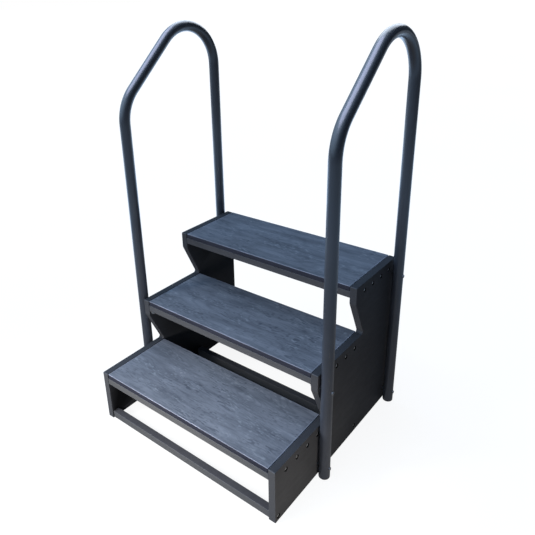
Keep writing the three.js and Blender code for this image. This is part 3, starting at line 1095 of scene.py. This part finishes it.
def make_floor():
    """A floor that is white to the camera and darker and bluer in reflections."""
    work = bmesh.new()
    bmesh.ops.create_grid(work, x_segments=1, y_segments=1, size=FLOOR_SIZE)
    mesh = bpy.data.meshes.new("floor")
    work.to_mesh(mesh)
    work.free()
    floor = new_object("floor", mesh)
    n = Nodes("floor")
    tone = n.noise(0.6, 2.0)
    colour = n.ramp(tone, [(0.3, (*FLOOR_LOW, 1)), (0.7, (*FLOOR_HIGH, 1))])
    material = n.set(Base_Color=colour, Roughness=0.9)
    glow = n.add("ShaderNodeEmission", {"Color": (1, 1, 1, 1), "Strength": FLOOR_GLOW})
    both = n.add("ShaderNodeAddShader")
    n.tree.links.new(n.shader.outputs["BSDF"], both.inputs[0])
    n.tree.links.new(glow.outputs["Emission"], both.inputs[1])
    place = n.place((1, 1, 1))
    distance = n.add("ShaderNodeVectorMath", {0: place}, operation="LENGTH").outputs["Value"]
    stops = [(position, (*colour, 1)) for position, colour in FLOOR_SHEEN]
    reflected = n.ramp(n.maths("DIVIDE", distance, FLOOR_REACH), stops)
    sideways = {0: place, 1: FLOOR_BRIGHT_SIDE}
    along = n.add("ShaderNodeVectorMath", sideways, operation="DOT_PRODUCT").outputs["Value"]
    strength = n.spread(along, 1.0, FLOOR_BRIGHTER, FLOOR_BRIGHT_FROM, FLOOR_BRIGHT_TO)
    sheen = n.add("ShaderNodeEmission", {"Color": reflected, "Strength": strength})
    rays = n.add("ShaderNodeLightPath").outputs
    mirrored = n.add("ShaderNodeMixShader", {"Fac": rays["Is Glossy Ray"]})
    n.tree.links.new(n.shader.outputs["BSDF"], mirrored.inputs[1])
    n.tree.links.new(sheen.outputs["Emission"], mirrored.inputs[2])
    either = n.add("ShaderNodeMixShader", {"Fac": rays["Is Camera Ray"]})
    n.tree.links.new(mirrored.outputs["Shader"], either.inputs[1])
    n.tree.links.new(both.outputs["Shader"], either.inputs[2])
    n.tree.links.new(either.outputs["Shader"], n.tree.nodes["Material Output"].inputs["Surface"])
    mesh.materials.append(material)


def make_world():
    """Soft light, mostly from above and the front left, and a plain white backdrop."""
    world = bpy.data.worlds.new("studio")
    bpy.context.scene.world = world
    world.use_nodes = True
    tree = world.node_tree
    background = tree.nodes["Background"]
    direction = tree.nodes.new("ShaderNodeTexCoord").outputs["Generated"]
    towards = tree.nodes.new("ShaderNodeVectorMath")
    towards.operation = "DOT_PRODUCT"
    tree.links.new(direction, towards.inputs[0])
    towards.inputs[1].default_value = Vector(SKY_SIDE).normalized()
    glow = tree.nodes.new("ShaderNodeValToRGB")
    tree.links.new(towards.outputs["Value"], glow.inputs["Fac"])
    glow.color_ramp.elements.new(0.5)
    for element, (position, tone) in zip(glow.color_ramp.elements, SKY_TONES):
        element.position = position
        element.color = (*tone, 1)
    tree.links.new(glow.outputs["Color"], background.inputs["Color"])
    background.inputs["Strength"].default_value = SKY_STRENGTH
    backdrop = tree.nodes.new("ShaderNodeBackground")
    backdrop.inputs["Color"].default_value = (1, 1, 1, 1)
    seen = tree.nodes.new("ShaderNodeLightPath").outputs["Is Camera Ray"]
    either = tree.nodes.new("ShaderNodeMixShader")
    tree.links.new(seen, either.inputs["Fac"])
    tree.links.new(background.outputs["Background"], either.inputs[1])
    tree.links.new(backdrop.outputs["Background"], either.inputs[2])
    tree.links.new(either.outputs["Shader"], tree.nodes["World Output"].inputs["Surface"])


def lamp(name, kind, power, colour, position, towards):
    """A light at a position, facing in a direction, that shows in no reflection."""
    light = bpy.data.lights.new(name, kind)
    light.energy = power
    light.color = colour
    holder = bpy.data.objects.new(name, light)
    bpy.context.scene.collection.objects.link(holder)
    holder.visible_camera = False
    holder.visible_glossy = False
    holder.location = position
    holder.rotation_mode = "QUATERNION"
    holder.rotation_quaternion = Vector(towards).to_track_quat("-Z", "Y")
    return holder


def glint(name, power, colour, towards, angle):
    """A broad far light that shows only in reflections."""
    holder = lamp(name, "SUN", power, colour, (0, 0, 3), towards)
    holder.data.angle = math.radians(angle)
    holder.visible_diffuse = False
    holder.visible_glossy = True
    return holder


def area_lamp(name, power, colour, position, towards, width, height):
    """A small soft rectangle of light."""
    holder = lamp(name, "AREA", power, colour, position, towards)
    holder.data.shape = "RECTANGLE"
    holder.data.size = width
    holder.data.size_y = height


def make_lights():
    """Light on the steps from the front left, two small lamps low down at the right side and in
    front, and two glints, of which the rear one reaches only the handrails."""
    front = lamp("front", "SUN", 0.15, (0.95, 0.97, 1.0), (0, -3, 2), (0.05, 1.0, -0.35))
    front.data.angle = math.radians(40)
    steps = lamp("steps", "SPOT", 430, (0.98, 0.97, 0.97), (-1.5, -2.3, 2.1), (1.22, 1.36, -1.9))
    steps.data.spot_size = math.radians(44)
    steps.data.spot_blend = 1.0
    steps.data.shadow_soft_size = 0.3
    area_lamp(
        "side", 2.8, (1.0, 0.88, 0.72), (0.82, -0.38, 0.08), (-1.0, 0.12, 0.05), 0.3, 0.12
    )
    area_lamp(
        "near", 5.4, (1.0, 0.94, 0.86), (-0.05, -0.85, 0.38), (0, 1.0, -0.30), 0.5, 0.08
    )
    glint("sky_glint", 3.0, (0.84, 0.88, 1.25), (0.22, 0.20, -0.93), 56)
    rear = glint("rear_glint", 1.8, (0.86, 0.95, 1.08), (0.34, -0.70, -0.62), 56)
    tubes = bpy.data.collections.new("tubes")
    for side_name in SIDES:
        tubes.objects.link(bpy.data.objects[f"tube_{side_name}"])
    rear.light_linking.receiver_collection = tubes


def make_camera():
    """The viewer stands to the front right, looking down at the block."""
    yaw, pitch, roll = CAMERA_TURN
    camera = bpy.data.cameras.new("camera")
    camera.sensor_width = 36.0
    camera.lens = CAMERA_LENS
    camera.shift_x, camera.shift_y = CAMERA_SHIFT
    camera.clip_start, camera.clip_end = 0.05, 300.0
    viewer = bpy.data.objects.new("camera", camera)
    bpy.context.scene.collection.objects.link(viewer)
    reach = math.cos(pitch)
    ahead = Vector((-math.sin(yaw) * reach, math.cos(yaw) * reach, math.sin(pitch)))
    level = Vector((math.cos(yaw), math.sin(yaw), 0.0))
    above = level.cross(ahead)
    right = level * math.cos(roll) + above * math.sin(roll)
    up = above * math.cos(roll) - level * math.sin(roll)
    turn = Matrix((right, up, -ahead)).transposed()
    viewer.matrix_world = Matrix.Translation(CAMERA_PLACE) @ turn.to_4x4()
    bpy.context.scene.camera = viewer


make_floor()
make_world()
make_lights()
make_camera()
bpy.context.scene.view_settings.view_transform = "Standard"
